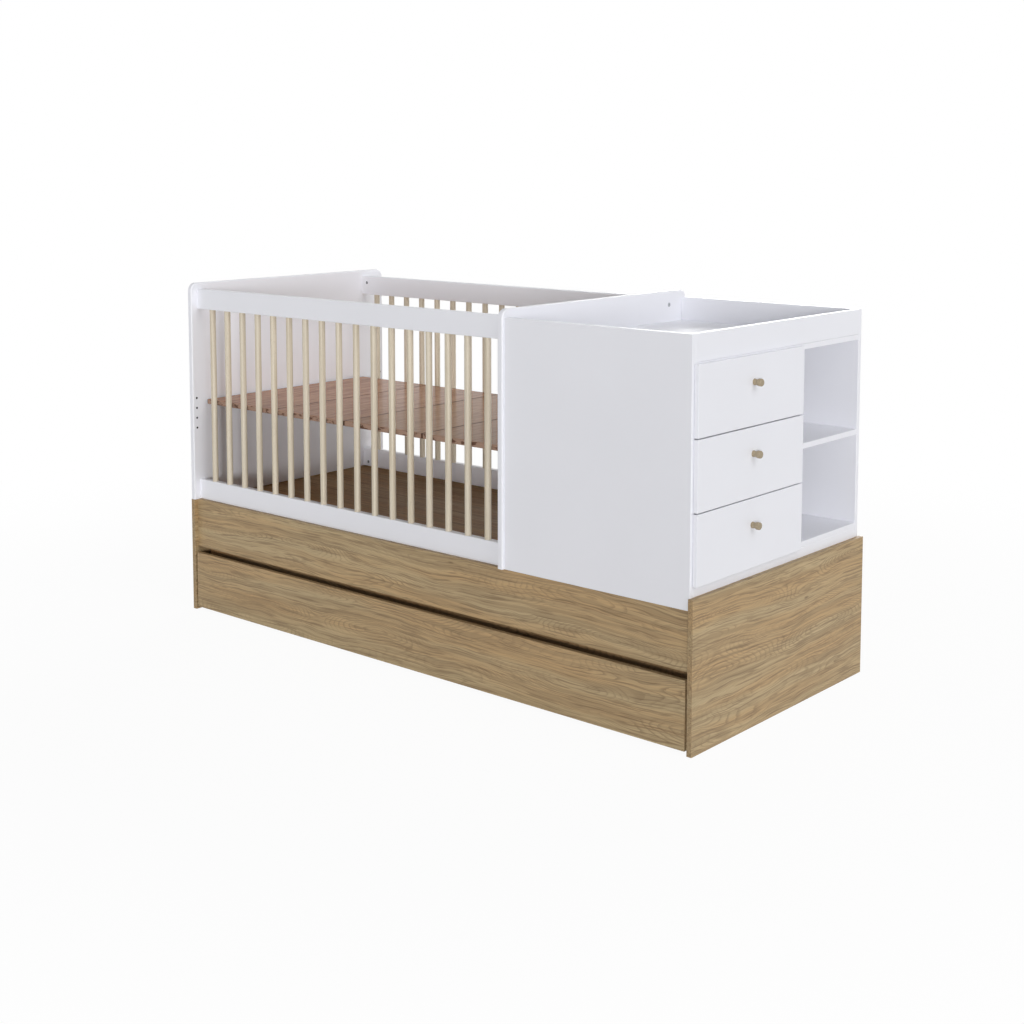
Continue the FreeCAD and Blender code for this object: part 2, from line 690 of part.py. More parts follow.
def make_casters(box_x):
    """Plate forks under the trundle's bottom, each with an axle and a plastic wheel on the floor."""
    fork_inner = "wheel_width + 2 * side_clearance"
    fork_outer = fork_inner + " + 2 * fork_plate"
    fork_z = "wheel_radius - fork_reach"
    far_x = "base_right_face - trundle_box_gap - caster_inset_x"
    places = (("front_left", box_x + " + caster_inset_x", "trundle_inner + caster_inset_y"),
              ("front_right", far_x, "trundle_inner + caster_inset_y"),
              ("back_left", box_x + " + caster_inset_x", "trundle_back - caster_inset_y"),
              ("back_right", far_x, "trundle_back - caster_inset_y"))
    forks = []
    axles = []
    for place, middle_x, middle_y in places:
        fork = new_body("trundle_fork_" + place,
                        ("%s - (%s) / 2" % (middle_x, fork_outer), middle_y + " - fork_width / 2", fork_z))
        add_feature(fork, "AdditiveBox",
                    box_sizes((fork_outer, "fork_width", "trundle_lift - (%s)" % fork_z)))
        add_feature(fork, "SubtractiveBox",
                    box_sizes((fork_inner, "fork_width + 2 * overrun",
                               "trundle_lift - (%s) - fork_plate + overrun" % fork_z)),
                    ("fork_plate", "-overrun", "-overrun"))
        add_feature(fork, "SubtractiveCylinder",
                    {"Radius": "axle_radius + running_clearance", "Height": fork_outer + " + 2 * overrun"},
                    ("-overrun", "fork_width / 2", "fork_reach"), "+x")
        forks.append(fork)
        axle = new_body("trundle_axle_" + place,
                        ("%s - (%s) / 2" % (middle_x, fork_outer), middle_y, "wheel_radius"), "+x")
        add_feature(axle, "AdditiveCylinder", {"Radius": "axle_radius", "Height": fork_outer})
        head = {"Radius": "axle_head_radius", "Height": "axle_head_height"}
        add_feature(axle, "AdditiveCylinder", head, ("0", "0", "-axle_head_height"))
        add_feature(axle, "AdditiveCylinder", head, ("0", "0", fork_outer))
        axles.append(axle)
        wheel = new_body("trundle_wheel_" + place,
                         (middle_x + " - wheel_width / 2", middle_y, "wheel_radius"), "+x")
        add_feature(wheel, "AdditiveCylinder", {"Radius": "wheel_radius", "Height": "wheel_width"})
        round_edges(wheel, "wheel_round", lambda edge: edge.Curve.TypeId == "Part::GeomCircle")
        drill(wheel, ("0", "0", "0"), "+z", "axle_radius + running_clearance", "wheel_width + overrun")
        keep(wheel)
    group("trundle_forks", forks)
    group("trundle_axles", axles)


def check_and_write():
    """Stops on any failed object or bad solid, then writes one file for each sub-part."""
    doc.recompute()
    for item in doc.Objects:
        if "Invalid" in item.State or "Error" in item.State:
            raise RuntimeError("%s failed: %s" % (item.Label, item.State))
    os.makedirs("parts", exist_ok=True)
    for node in nodes:
        shape = node.Shape
        if shape.isNull() or not shape.isValid() or shape.Volume <= 0:
            raise RuntimeError("%s has no valid solid" % node.Label)
    for node in nodes:
        node.Shape.exportStep(os.path.join("parts", node.Label + ".step"))
        print(node.Label, len(node.Shape.Solids), round(node.Shape.Volume))
    print(len(nodes), "sub-parts")


fill_sheet()
make_base()
make_crib()
make_platform()
make_chest()
make_cabinet_runners()
for drawer_number in range(SIZES["drawer_count"]):
    make_drawer(drawer_number)
make_trundle()
check_and_write()
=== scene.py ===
import math

import bmesh
import bpy
from bpy.props import FloatProperty, FloatVectorProperty, IntProperty, PointerProperty
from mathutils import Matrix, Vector


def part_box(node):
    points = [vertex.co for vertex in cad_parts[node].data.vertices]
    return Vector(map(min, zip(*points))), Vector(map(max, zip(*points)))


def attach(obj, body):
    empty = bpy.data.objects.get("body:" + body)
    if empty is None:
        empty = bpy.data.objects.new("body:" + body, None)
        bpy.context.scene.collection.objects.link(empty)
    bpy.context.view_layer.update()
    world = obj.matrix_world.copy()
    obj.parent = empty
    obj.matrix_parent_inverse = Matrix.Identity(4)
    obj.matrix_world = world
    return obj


bl_info = {
    "name": "Convertible Crib Finishes",
    "version": (1, 0, 0),
    "blender": (4, 5, 0),
    "location": "3D View > Sidebar > Crib",
    "description": "Dresses the crib in its finishes, adds screws and sleeves, sets up the studio",
    "category": "Object",
}

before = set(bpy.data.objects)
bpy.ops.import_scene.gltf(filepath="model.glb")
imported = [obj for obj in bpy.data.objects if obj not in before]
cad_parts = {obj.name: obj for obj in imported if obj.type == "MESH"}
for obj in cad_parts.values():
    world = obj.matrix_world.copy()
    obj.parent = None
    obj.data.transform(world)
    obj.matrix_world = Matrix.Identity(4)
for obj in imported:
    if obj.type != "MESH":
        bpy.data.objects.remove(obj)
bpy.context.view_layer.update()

WHITE_BOARDS = (
    "crib_left_panel", "crib_partition", "crib_front_bottom_rail", "crib_front_top_rail",
    "crib_back_bottom_rail", "crib_back_top_rail", "chest_front_side", "chest_back_side", "chest_bottom",
    "chest_changing_top", "chest_end_rim", "chest_plinth", "chest_divider", "chest_niche_shelf",
    "drawer_1_front", "drawer_2_front", "drawer_3_front",
)
DRAWERS = ("drawer_1", "drawer_2", "drawer_3")
# Each oak-look board: the axis its grain runs along, the axis across the grain and the axis it faces.
OAK_BOARDS = {
    "base_front_rail": "xzy", "base_back_panel": "xzy", "trundle_front": "xzy", "trundle_long_walls": "xzy",
    "base_left_end": "yzx", "base_right_end": "yzx", "trundle_ends": "yzx",
    "deck_crib_panel": "xyz", "deck_chest_panel": "xyz", "trundle_bottom": "xyz",
}
STEEL_FITTINGS = (
    "crib_rail_bolts", "chest_cabinet_runners", "platform_brackets", "platform_screws",
    "drawer_1_runners", "drawer_2_runners", "drawer_3_runners", "trundle_forks", "trundle_axles",
)
WHEELS = ("trundle_wheel_front_left", "trundle_wheel_front_right", "trundle_wheel_back_left",
          "trundle_wheel_back_right")

WHITE = (1.0, 1.0, 1.0, 1.0)
NO_TINT = (1.0, 1.0, 1.0)
# Shift of the oak figure from one board to the next, so that no two boards look alike.
OAK_SEED_STEP = 1.37
SMOOTH_ANGLE = math.radians(35)
SCREW_SIDES = 28
SLEEVE_SIDES = 24
SENSOR_WIDTH = 36.0
VIEW_DISTANCE = 200.0
FLOOR_SIZE = 60.0
FLOOR_DROP = 0.0005
# The floor's plain white grows to its full share between these distances from the middle.
GLOW_START = 1.2
GLOW_END = 3.2


class CribColours(bpy.types.PropertyGroup):
    """Colours of the crib's finishes."""

    white_lacquer: FloatVectorProperty(
        name="White lacquer", description="Satin lacquer on the crib and the chest", subtype="COLOR",
        default=(0.890, 0.896, 0.946))
    oak_light: FloatVectorProperty(
        name="Oak, light", description="Pale early wood of the oak-look boards", subtype="COLOR",
        default=(0.533, 0.407, 0.231))
    oak_dark: FloatVectorProperty(
        name="Oak, dark", description="Dark late wood lines of the oak-look boards", subtype="COLOR",
        default=(0.165, 0.098, 0.044))
    oak_red: FloatVectorProperty(
        name="Oak, warm", description="Warmer bands in the oak-look boards", subtype="COLOR",
        default=(0.536, 0.355, 0.174))
    deck_tone: FloatVectorProperty(
        name="Deck tone", description="Tint that turns the oak look into the deck's browner one",
        subtype="COLOR",
        default=(0.93, 0.82, 0.75))
    wall_tone: FloatVectorProperty(
        name="Wall tone", description="Tint that turns the oak look into the trundle walls' redder one",
        subtype="COLOR", default=(1.0, 0.88, 0.82))
    oak_pore: FloatVectorProperty(
        name="Oak, pore", description="Pores and small knots of the oak-look boards", subtype="COLOR",
        default=(0.14, 0.085, 0.040))
    knob_light: FloatVectorProperty(
        name="Knob, light", description="Pale wood of the drawer knobs", subtype="COLOR",
        default=(0.40, 0.325, 0.215))
    knob_dark: FloatVectorProperty(
        name="Knob, dark", description="Grain lines of the drawer knobs", subtype="COLOR",
        default=(0.29, 0.225, 0.14))
    beech_light: FloatVectorProperty(
        name="Beech, light", description="Pale wood of the dowels", subtype="COLOR",
        default=(0.77, 0.69, 0.555))
    beech_dark: FloatVectorProperty(
        name="Beech, dark", description="Grain lines of the dowels", subtype="COLOR",
        default=(0.50, 0.41, 0.285))
    plank_light: FloatVectorProperty(
        name="Plank, light", description="Pale wood of the platform's brown planks", subtype="COLOR",
        default=(0.50, 0.265, 0.155))
    # Planks lean towards this darker tan by random amounts; on the plank beside the partition it is painted
    # shade.
    plank_tan_and_shade: FloatVectorProperty(
        name="Plank, warm", description="Tan that some of the platform's planks lean towards",
        subtype="COLOR",
        default=(0.29, 0.150, 0.050))
    plank_dark: FloatVectorProperty(
        name="Plank, dark", description="Grain lines of the platform's brown planks", subtype="COLOR",
        default=(0.16, 0.070, 0.045))
    plank_end: FloatVectorProperty(
        name="Plank, end", description="Paler end grain of the platform's planks", subtype="COLOR",
        default=(0.40, 0.275, 0.215))
    pine_light: FloatVectorProperty(
        name="Pine, light", description="Pale wood of the cleats and the bearers", subtype="COLOR",
        default=(0.70, 0.53, 0.33))
    pine_dark: FloatVectorProperty(
        name="Pine, dark", description="Grain lines of the cleats and the bearers", subtype="COLOR",
        default=(0.52, 0.34, 0.17))
    hardboard: FloatVectorProperty(
        name="Hardboard", description="White-faced hardboard of backs and drawer bottoms", subtype="COLOR",
        default=(0.79, 0.79, 0.80))
    melamine: FloatVectorProperty(
        name="Melamine", description="White board of the drawer boxes", subtype="COLOR",
        default=(0.78, 0.785, 0.80))
    dull_zinc: FloatVectorProperty(
        name="Dull zinc", description="Darker plating of the barrel nuts", subtype="COLOR",
        default=(0.26, 0.265, 0.285))
    zinc: FloatVectorProperty(
        name="Zinc", description="Zinc-plated steel of the fittings", subtype="COLOR",
        default=(0.60, 0.61, 0.64))
    # This black also lines the hole sleeves, where it is painted shade inside the holes.
    nylon: FloatVectorProperty(
        name="Nylon", description="Black nylon of the caster wheels", subtype="COLOR",
        default=(0.022, 0.022, 0.024))


class CribGrain(bpy.types.PropertyGroup):
    """Sizes of the wood figure."""

    oak_figure_length: FloatProperty(
        name="Oak figure length", description="Length of one arch of the oak figure", unit="LENGTH",
        default=0.50)
    oak_figure_width: FloatProperty(
        name="Oak figure width", description="Width of one arch of the oak figure", unit="LENGTH",
        default=0.095)
    oak_rings: FloatProperty(
        name="Oak rings", description="Growth rings across one arch of the oak figure", default=28.0)
    oak_ring_width: FloatProperty(
        name="Oak ring width", description="Width of a straight growth ring", unit="LENGTH", default=0.0150)
    oak_sheen: FloatProperty(
        name="Oak sheen", description="How strongly the oak look mirrors its surroundings",
        subtype="FACTOR",
        default=0.5)
    deck_sheen: FloatProperty(
        name="Deck sheen", description="How strongly the deck mirrors its surroundings", subtype="FACTOR",
        default=0.06)
    plank_sheen: FloatProperty(
        name="Plank sheen", description="How strongly the platform mirrors its surroundings",
        subtype="FACTOR",
        default=0.03)
    # The seed is picked so that the plank beside the partition comes out darkest: painted shade from the
    # partition.
    plank_seed: IntProperty(
        name="Plank seed", description="Number that picks the tone of each plank of the platform",
        default=2723)
    plank_count: IntProperty(
        name="Plank count", description="Planks of the platform, side by side", default=4)
    plank_gap: FloatProperty(
        name="Plank gap", description="Gap between two planks of the platform", unit="LENGTH",
        default=0.002)
    dowel_count: IntProperty(
        name="Dowel count", description="Dowels on each side, each with its own grain", default=17)


class CribScrews(bpy.types.PropertyGroup):
    """Sizes of the screws that hold the knobs and the runners."""

    head_radius: FloatProperty(
        name="Head radius", description="Radius of a pan head", unit="LENGTH", default=0.0042)
    head_height: FloatProperty(
        name="Head height", description="Height of a pan head", unit="LENGTH", default=0.0022)
    slot_length: FloatProperty(
        name="Slot length", description="Length of each arm of the cross recess", unit="LENGTH",
        default=0.0044)
    slot_width: FloatProperty(
        name="Slot width", description="Width of each arm of the cross recess", unit="LENGTH",
        default=0.0010)
    slot_depth: FloatProperty(
        name="Slot depth", description="Depth of the cross recess", unit="LENGTH", default=0.0011)
    runner_plate: FloatProperty(
        name="Runner plate", description="Thickness of a runner's plate", unit="LENGTH", default=0.0015)
    runner_inset: FloatProperty(
        name="Runner inset", description="Distance of the end screws from a runner's ends", unit="LENGTH",
        default=0.035)


class CribSleeves(bpy.types.PropertyGroup):
    """Sizes and places of the sleeves in the crib panels' small holes."""

    radius: FloatProperty(
        name="Radius", description="Outer radius of a sleeve", unit="LENGTH", default=0.0024)
    wall: FloatProperty(
        name="Wall", description="Thickness of a sleeve's wall and floor", unit="LENGTH", default=0.0005)
    depth: FloatProperty(
        name="Depth", description="Length of a sleeve", unit="LENGTH", default=0.0070)
    rim_radius: FloatProperty(
        name="Rim radius", description="Outer radius of a sleeve's thin rim", unit="LENGTH", default=0.0034)
    rim_height: FloatProperty(
        name="Rim height", description="Thickness of a sleeve's rim on the panel", unit="LENGTH",
        default=0.0004)
    row_count: IntProperty(
        name="Row count", description="Holes in each row for the platform's height", default=4)
    row_lift: FloatProperty(
        name="Row lift", description="Height of a row's lowest hole above the panel's foot", unit="LENGTH",
        default=0.232)
    row_pitch: FloatProperty(
        name="Row pitch", description="Distance between two holes of a row", unit="LENGTH", default=0.032)
    row_setback: FloatProperty(
        name="Row setback", description="Distance of a row from the panel's edge", unit="LENGTH",
        default=0.0145)
    foot_lift: FloatProperty(
        name="Foot lift", description="Height of the two low holes above the panel's foot", unit="LENGTH",
        default=0.018)
    foot_spacing: FloatProperty(
        name="Foot spacing", description="Distance between the two low holes", unit="LENGTH", default=0.446)


class CribStage(bpy.types.PropertyGroup):
    """Camera, lamps and floor."""

    camera_place: FloatVectorProperty(
        name="Camera place", description="Where the camera stands", subtype="TRANSLATION", unit="LENGTH",
        default=(3.0192, -3.4701, 1.4498))
    camera_heading: FloatProperty(
        name="Camera heading", description="Turn of the camera to the left of the depth axis",
        subtype="ANGLE",
        default=math.radians(40.858))
    camera_pitch: FloatProperty(
        name="Camera pitch", description="Tilt of the camera above the horizon", subtype="ANGLE",
        default=math.radians(-5.456))
    camera_lens: FloatProperty(
        name="Camera lens", description="Focal length on a 36 mm sensor", unit="CAMERA", default=54.62)
    camera_rise: FloatProperty(
        name="Camera shift", description="Vertical shift of the lens", default=-0.20)
    world_light: FloatProperty(
        name="World light", description="Strength of the even light from all round", default=0.22)
    low_light: FloatProperty(
        name="Low lamp", description="Strength of the low lamp off the drawer end's front corner",
        default=1.54)
    low_way: FloatVectorProperty(
        name="Low lamp way", description="Direction from the crib to the low lamp", subtype="DIRECTION",
        default=(1.0, -1.35, 0.10))
    low_width: FloatProperty(
        name="Low lamp width", description="Angle that the low lamp fills, seen from the crib",
        subtype="ANGLE",
        default=math.radians(13.0))
    back_light: FloatProperty(
        name="Back lamp", description="Strength of the lamp behind the crib", default=2.0)
    back_way: FloatVectorProperty(
        name="Back lamp way", description="Direction from the crib to the back lamp", subtype="DIRECTION",
        default=(-0.3, 1.0, 0.2))
    back_width: FloatProperty(
        name="Back lamp width", description="Angle that the back lamp fills, seen from the crib",
        subtype="ANGLE", default=math.radians(40.0))
    high_light: FloatProperty(
        name="High lamp", description="Strength of the high lamp off the drawer end", default=1.02)
    high_way: FloatVectorProperty(
        name="High lamp way", description="Direction from the crib to the high lamp", subtype="DIRECTION",
        default=(1.0, -0.1, 0.9))
    high_width: FloatProperty(
        name="High lamp width", description="Angle that the high lamp fills, seen from the crib",
        subtype="ANGLE", default=math.radians(50.0))
    floor_colour: FloatVectorProperty(
        name="Floor", description="Colour of the studio floor", subtype="COLOR", default=(0.88, 0.88, 0.88))
    floor_glow: FloatProperty(
        name="Floor glow", description="Share of plain white in the floor near the crib", subtype="FACTOR",
        default=0.95)


class Value:
    """A number that changes over a surface. Arithmetic on it adds Math nodes to its finish."""

    def __init__(self, finish, socket):
        self.finish = finish
        self.socket = socket

    def math(self, operation, first, second=0.0):
        node = self.finish.node("ShaderNodeMath", {"operation": operation}, {0: first, 1: second})
        return Value(self.finish, node.outputs[0])

    def __add__(self, other):
        return self.math("ADD", self, other)

    def __radd__(self, other):
        return self.math("ADD", other, self)

    def __sub__(self, other):
        return self.math("SUBTRACT", self, other)

    def __rsub__(self, other):
        return self.math("SUBTRACT", other, self)

    def __mul__(self, other):
        return self.math("MULTIPLY", self, other)

    def __rmul__(self, other):
        return self.math("MULTIPLY", other, self)

    def __truediv__(self, other):
        return self.math("DIVIDE", self, other)

    def __abs__(self):
        return self.math("ABSOLUTE", self)

    def __floor__(self):
        return self.math("FLOOR", self)

    def __gt__(self, other):
        return self.math("GREATER_THAN", self, other)

    def part(self):
        """What is left after whole numbers are taken away."""
        return self.math("FRACT", self)

    def larger(self, other):
        return self.math("MAXIMUM", self, other)

    def rise(self, low, high):
        """Climbs smoothly from 0 at low to 1 at high."""
        node = self.finish.node(
            "ShaderNodeMapRange", {"interpolation_type": "SMOOTHSTEP"},
            {"Value": self, "From Min": low, "From Max": high, "To Min": 0.0, "To Max": 1.0})
        return Value(self.finish, node.outputs["Result"])


class NodeSheet:
    """A node tree that is filled node by node."""

    def __init__(self, tree):
        self.tree = tree
        tree.nodes.clear()

    def node(self, kind, settings=None, sockets=None):
        """Adds a node, sets it up, then fills or links its input sockets."""
        node = self.tree.nodes.new(kind)
        for name, setting in (settings or {}).items():
            setattr(node, name, setting)
        for name, value in (sockets or {}).items():
            if isinstance(value, Value):
                value = value.socket
            if isinstance(value, bpy.types.NodeSocket):
                self.tree.links.new(value, node.inputs[name])
            else:
                node.inputs[name].default_value = value
        return node


class Finish(NodeSheet):
    """One procedural material around a Principled shader."""

    def __init__(self, name, roughness=0.5, coat=0.0, metal=0.0, specular=0.5):
        self.material = bpy.data.materials.new(name)
        self.material.use_nodes = True
        super().__init__(self.material.node_tree)
        self.shader = self.node("ShaderNodeBsdfPrincipled", None,
                                {"Roughness": roughness, "Coat Weight": coat, "Metallic": metal,
                                 "Specular IOR Level": specular})
        self.node("ShaderNodeOutputMaterial", None, {"Surface": self.shader.outputs["BSDF"]})
        self.coordinates = self.node("ShaderNodeTexCoord")

    def axes(self, output="Object"):
        """The three parts of a coordinate, by the names of the axes."""
        split = self.node("ShaderNodeSeparateXYZ", None, {0: self.coordinates.outputs[output]})
        return {axis: Value(self, split.outputs[axis.upper()]) for axis in "xyz"}

    def vector(self, first, second, third):
        return self.node("ShaderNodeCombineXYZ", None, {0: first, 1: second, 2: third}).outputs[0]

    def noise(self, place, waves, detail=2.0, roughness=0.5):
        """Soft noise with so many waves per metre along each of the three parts of a place."""
        spread = self.vector(*(part * count for part, count in zip(place, waves)))
        node = self.node("ShaderNodeTexNoise", None,
                         {"Vector": spread, "Scale": 1.0, "Detail": detail, "Roughness": roughness})
        return Value(self, node.outputs["Fac"])

    def even_noise(self, waves, detail):
        """Soft noise with as many waves per metre along every axis."""
        return self.noise(self.axes().values(), (waves, waves, waves), detail)

    def chance(self, number):
        """A steady random number from 0 to 1 for each whole number."""
        node = self.node("ShaderNodeTexWhiteNoise", {"noise_dimensions": "1D"}, {"W": number})
        return Value(self, node.outputs["Value"])

    def spots(self, place):
        """Distance to the nearest of scattered points, and a random number for that point."""
        node = self.node("ShaderNodeTexVoronoi", None, {"Vector": place, "Scale": 1.0})
        shade = self.node("ShaderNodeSeparateColor", None, {0: node.outputs["Color"]})
        return Value(self, node.outputs["Distance"]), Value(self, shade.outputs[0])

    def loops(self, place, smoothness):
        """Smoothed distance to the nearest of scattered points, whose contours are nested loops."""
        node = self.node("ShaderNodeTexVoronoi", {"feature": "SMOOTH_F1"},
                         {"Vector": place, "Scale": 1.0, "Smoothness": smoothness})
        return Value(self, node.outputs["Distance"])

    def mix(self, share, first, second):
        """Goes from the first colour to the second as share goes from 0 to 1."""
        sockets = {0: share}
        for number, colour in ((6, first), (7, second)):
            linked = isinstance(colour, bpy.types.NodeSocket)
            sockets[number] = colour if linked else (*colour, 1.0)
        return self.node("ShaderNodeMix", {"data_type": "RGBA"}, sockets).outputs[2]

    def paint(self, **inputs):
        """Links or sets inputs of the shader, named with underscores."""
        for name, value in inputs.items():
            socket = self.shader.inputs[name.replace("_", " ").title()]
            if isinstance(value, Value):
                value = value.socket
            if isinstance(value, bpy.types.NodeSocket):
                self.tree.links.new(value, socket)
            else:
                socket.default_value = value

    def relief(self, height, depth):
        """Bumps the surface by a height from 0 to 1 times a depth in metres."""
        bump = self.node("ShaderNodeBump", None, {"Strength": 1.0, "Distance": depth, "Height": height})
        self.paint(normal=bump.outputs["Normal"])


def tinted(colour, factor):
    """A colour made lighter or darker."""
    return tuple(part * factor for part in colour)


def toned(colour, tone):
    """A colour seen through a tint."""
    return tuple(part * share for part, share in zip(colour, tone))


def dress(names, material):
    """Gives nodes of the frame a material in place of their own."""
    for name in names:
        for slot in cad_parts[name].material_slots:
            slot.material = material


def white_lacquer(colours):
    """Satin white lacquer: nearly even, with a faint cloud and the skin of a sprayed coat."""
    finish = Finish("white_lacquer", coat=0.08)
    cloud = finish.even_noise(3.1, detail=4.0)
    skin = finish.even_noise(260.0, detail=1.0)
    white = colours.white_lacquer
    finish.paint(base_color=finish.mix(cloud.rise(0.32, 0.68), tinted(white, 0.985), white),
                 roughness=0.34 + cloud * 0.12)
    finish.relief(skin, 0.00001)
    return finish.material


def oak_laminate(name, colours, grain, layout, seed, tone, sheen):
    """Oak-look laminate: nested growth rings, warm and cool bands, fibres, pores and a few small knots."""
    light, warm, dark, spot = (
        toned(colour, tone)
        for colour in (colours.oak_light, colours.oak_red, colours.oak_dark, colours.oak_pore))
    along_axis, across_axis, face_axis = layout
    finish = Finish(name, specular=sheen)
    at = finish.axes()
    along = at[along_axis] + seed
    across = at[across_axis]
    depth = at[face_axis]
    edge = 1.0 - abs(finish.axes("Normal")[face_axis]).rise(0.3, 0.7)
    wander = finish.noise((along, across, seed), (2.0, 5.0, 1.0), detail=3.0)
    across_bent = across + (wander - 0.5) * 0.07
    eye = finish.loops(finish.vector(along / grain.oak_figure_length, across_bent / grain.oak_figure_width,
                                     depth * 3.0 + seed), 0.30)
    ripple = finish.noise((along, across, seed + 5.0), (12.0, 60.0, 1.0), detail=3.0)
    ring = (eye * grain.oak_rings + across_bent / grain.oak_ring_width + ripple * 1.5).part()
    late = ring.rise(0.50, 0.92) - ring.rise(0.93, 1.0)
    strength = finish.noise((along, across, seed + 3.0), (2.5, 18.0, 1.0), detail=3.0).rise(0.42, 0.72)
    bands = finish.noise((along, across_bent, seed + 7.0), (0.9, 16.0, 1.0), detail=3.0).rise(0.36, 0.64)
    fibre = finish.noise((along, across, depth), (9.0, 300.0, 300.0), detail=3.0, roughness=0.6)
    streak = finish.noise((along, across_bent, depth), (2.2, 150.0, 150.0), detail=3.0).rise(0.40, 0.62)
    dash = finish.noise((along, across_bent, depth), (9.0, 260.0, 260.0), detail=2.0).rise(0.52, 0.66)
    pore = finish.noise((along, across, depth), (30.0, 900.0, 900.0), detail=1.0).rise(0.60, 0.72)
    reach, pick = finish.spots(finish.vector(along * 5.0, across * 17.0, seed))
    knot = (1.0 - reach.rise(0.02, 0.08)) * (pick > 0.70)
    wood = finish.mix(bands, light, warm)
    wood = finish.mix(late * (0.13 + strength * 0.50), wood, dark)
    wood = finish.mix(streak * 0.56, wood, tinted(warm, 0.50))
    wood = finish.mix(dash * 0.66, wood, dark)
    wood = finish.mix(fibre.rise(0.30, 0.74) * 0.40, wood, tinted(light, 0.66))
    wood = finish.mix((pore * late * 0.40).larger(knot * 0.70), wood, spot)
    wood = finish.mix(edge * 0.22, wood, dark)
    finish.paint(base_color=wood, roughness=0.46 + fibre * 0.16)
    finish.relief(fibre * 0.6 + late * 0.4 - pore * 0.6, 0.00008)
    return finish.material


def turned_beech(name, light, dark, along_axis, start, pitch):
    """Clear-sealed beech: fine straight grain and short ray flecks, different on each turned piece."""
    finish = Finish(name, coat=0.10)
    at = finish.axes()
    across_axes = [axis for axis in "xyz" if axis != along_axis]
    piece = finish.chance(math.floor((at[across_axes[0]] - start) / pitch))
    along = at[along_axis] + piece * 7.0
    place = (along, at[across_axes[0]], at[across_axes[1]])
    grain = finish.noise(place, (3.0, 240.0, 240.0), detail=3.0, roughness=0.55)
    fleck = finish.noise(place, (130.0, 900.0, 900.0), detail=1.0).rise(0.60, 0.70)
    wood = finish.mix(grain.rise(0.34, 0.70) * 0.75, light, dark)
    wood = finish.mix(fleck * 0.35, wood, tinted(dark, 0.72))
    wood = finish.mix(piece * 0.55, wood, tinted(light, 0.84))
    finish.paint(base_color=wood, roughness=0.38 + grain * 0.14)
    finish.relief(grain - fleck * 0.4, 0.00004)
    return finish.material


def brown_plank(name, colours, layout, start, pitch, seed, sheen):
    """Brown satin-sealed planks: soft figure, mottled end grain, dark joints and each plank's own tone,
    darkest on the plank beside the partition, where it is painted shade.
    """
    along_axis, across_axis, face_axis = layout
    finish = Finish(name, specular=sheen)
    at = finish.axes()
    facing = finish.axes("Normal")
    place = (at["x"] - start) / pitch
    plank = finish.chance(math.floor(place) + seed)
    joint = abs(place.part() - 0.5).rise(0.483, 0.493)
    along = at[along_axis] + plank * 5.0
    across = at[across_axis]
    depth = at[face_axis]
    figure = finish.noise((along, across, depth * 14.0 + plank * 9.0), (1.9, 14.0, 1.0))
    ring = (figure * 9.0).part()
    line = ring.rise(0.25, 0.85) - ring.rise(0.90, 1.0)
    fibre = finish.noise((along, across, depth), (8.0, 380.0, 380.0), detail=3.0, roughness=0.6)
    mottle = finish.noise((at["x"], at["y"], depth), (45.0, 45.0, 110.0))
    end_grain = abs(facing[along_axis]).rise(0.6, 0.9)
    wood = finish.mix(line * 0.45, colours.plank_light, colours.plank_dark)
    wood = finish.mix(fibre.rise(0.35, 0.75) * 0.40, wood, tinted(colours.plank_dark, 0.85))
    # Random per-plank tone towards the darker tan; the seed makes the plank beside the partition darkest, as
    # painted shade.
    wood = finish.mix(plank * (1.0 - end_grain * 0.6) * 0.55, wood, colours.plank_tan_and_shade)
    wood = finish.mix(end_grain * 0.85, wood, colours.plank_end)
    wood = finish.mix(end_grain * mottle.rise(0.52, 0.60) * 0.8, wood, tinted(colours.plank_dark, 0.6))
    wood = finish.mix(joint * 0.85, wood, tinted(colours.plank_dark, 0.45))
    finish.paint(base_color=wood, roughness=0.17 + fibre * 0.08)
    finish.relief(fibre, 0.00003)
    return finish.material


def planed_pine(name, colours, layout):
    """Planed pine: wide yellow grain with clear late wood lines."""
    finish = Finish(name)
    at = finish.axes()
    place = [at[axis] for axis in layout]
    ring = (finish.noise(place, (1.2, 30.0, 30.0), detail=1.5) * 8.0).part()
    fibre = finish.noise(place, (9.0, 500.0, 500.0))
    wood = finish.mix(ring.rise(0.35, 0.90) * 0.7, colours.pine_light, colours.pine_dark)
    finish.paint(base_color=wood, roughness=0.55 + fibre * 0.15)
    finish.relief(fibre, 0.00005)
    return finish.material


def white_sheet(name, colour, roughness):
    """White-faced board: a fine printed grain under a dull face."""
    finish = Finish(name)
    tooth = finish.even_noise(320.0, detail=2.0)
    cloud = finish.even_noise(6.0, detail=3.0)
    finish.paint(base_color=finish.mix(cloud.rise(0.3, 0.7), tinted(colour, 0.97), colour),
                 roughness=roughness + tooth * 0.12)
    finish.relief(tooth, 0.00002)
    return finish.material


def zinc_plate(name, colour):
    """Zinc-plated steel: a soft cloudy shine with fine rolling lines."""
    finish = Finish(name, metal=1.0)
    cloud = finish.even_noise(45.0, detail=3.0)
    lines = finish.noise(finish.axes().values(), (12.0, 900.0, 900.0), detail=1.0)
    finish.paint(base_color=finish.mix(cloud.rise(0.3, 0.7), tinted(colour, 0.86), colour),
                 roughness=0.30 + cloud * 0.16 + lines * 0.06)
    finish.relief(lines, 0.00001)
    return finish.material


def black_nylon_and_hole_shade(colours):
    """Moulded nylon wheels with a dull, lightly scuffed tread. The same black lines the hole sleeves, where
    it is painted shade inside the holes.
    """
    finish = Finish("black_nylon_and_hole_shade")
    scuff = finish.noise(finish.axes().values(), (90.0, 240.0, 240.0), detail=3.0)
    finish.paint(base_color=finish.mix(scuff.rise(0.45, 0.8), colours.nylon, tinted(colours.nylon, 2.2)),
                 roughness=0.45 + scuff * 0.25)
    finish.relief(scuff, 0.00004)
    return finish.material


